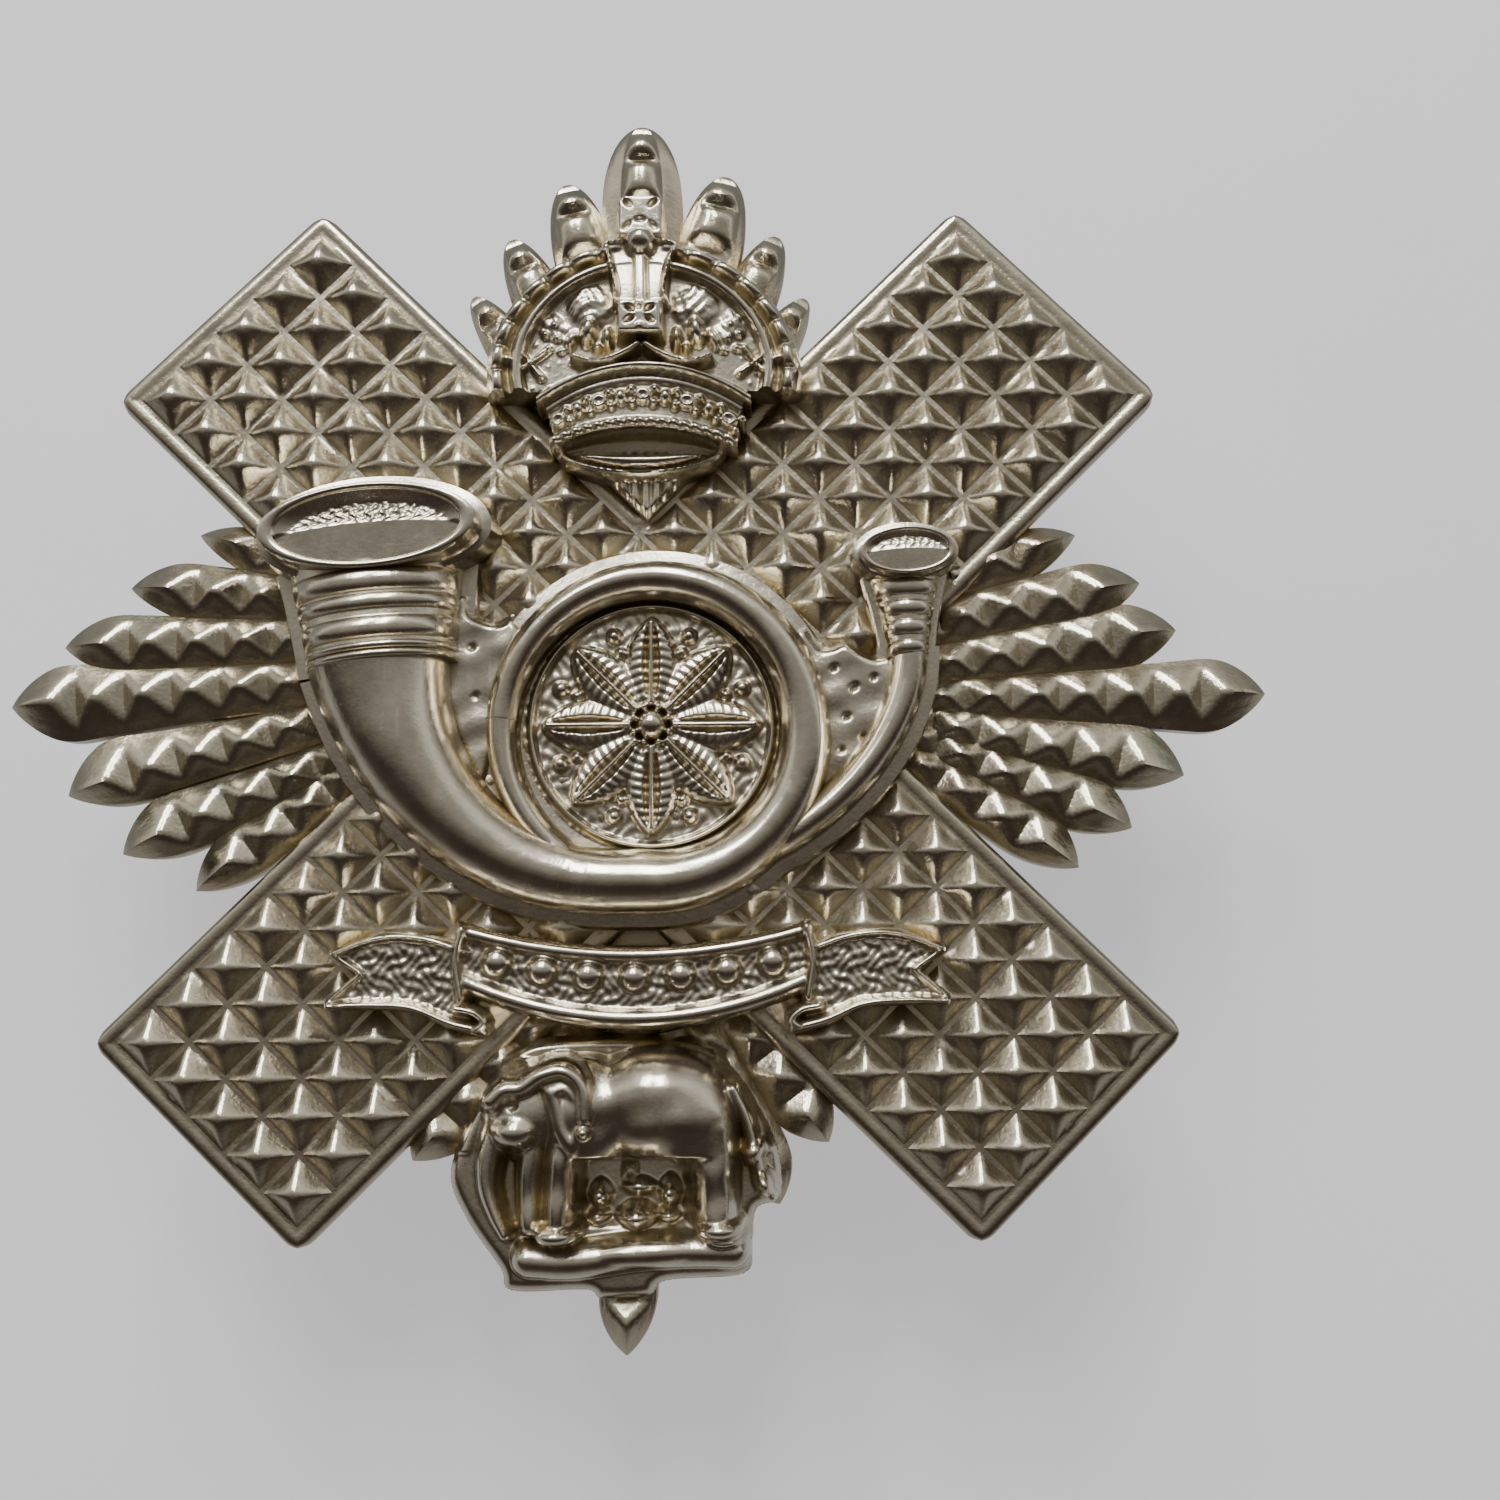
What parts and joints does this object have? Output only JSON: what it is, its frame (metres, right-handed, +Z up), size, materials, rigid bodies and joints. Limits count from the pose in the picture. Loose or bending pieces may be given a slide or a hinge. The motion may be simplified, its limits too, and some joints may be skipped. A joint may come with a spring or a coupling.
{
  "type": "cap badge",
  "caption": "Ray star cap badge with a pyramid-cut saltire, crown, coiled bugle horn, scroll and elephant, held on by wire lugs, a backing plate and a split pin.",
  "frame": {"origin": "centre of the saltire, on the star's flat back face that rests against the cap", "axes": "+X to the right seen from the front, +Y out of the back towards the cap, +Z up towards the crown; the face looks along -Y"},
  "size_m": [0.065, 0.0149, 0.064],
  "materials": {
    "star_metal": "struck nickel silver, satin, tarnished in the valleys",
    "saltire_metal": "struck nickel silver, satin, bright on the lattice lines",
    "mount_metal": "polished nickel silver with yellow-brown tarnish in the recesses",
    "post_metal": "dull copper wire, peened",
    "lug_wire": "dull copper wire",
    "plate_brass": "rolled sheet brass, aged",
    "pin_brass": "half-round brass wire, rubbed bright"
  },
  "bodies": {
    "badge": {"star_plate": "star_metal", "saltire_plate": "saltire_metal", "crown": "mount_metal", "horn": "mount_metal", "centre_device": "mount_metal", "scroll": "mount_metal", "elephant": "mount_metal", "crown_posts": "post_metal", "horn_posts": "post_metal", "centre_post": "post_metal", "scroll_posts": "post_metal", "elephant_posts": "post_metal", "lug_left": "lug_wire", "lug_right": "lug_wire"},
    "keeper": {"backing_plate": "plate_brass"},
    "pin": {"split_pin": "pin_brass"}
  },
  "joints": [
    {"name": "pin_draw", "type": "slide", "parent": "badge", "child": "pin", "axis": [1, 0, 0], "range_m": [0, 0.038]},
    {"name": "keeper_float", "type": "slide", "parent": "badge", "child": "keeper", "axis": [0, 1, 0], "range_m": [-0.0024, 0.0004]}
  ]
}
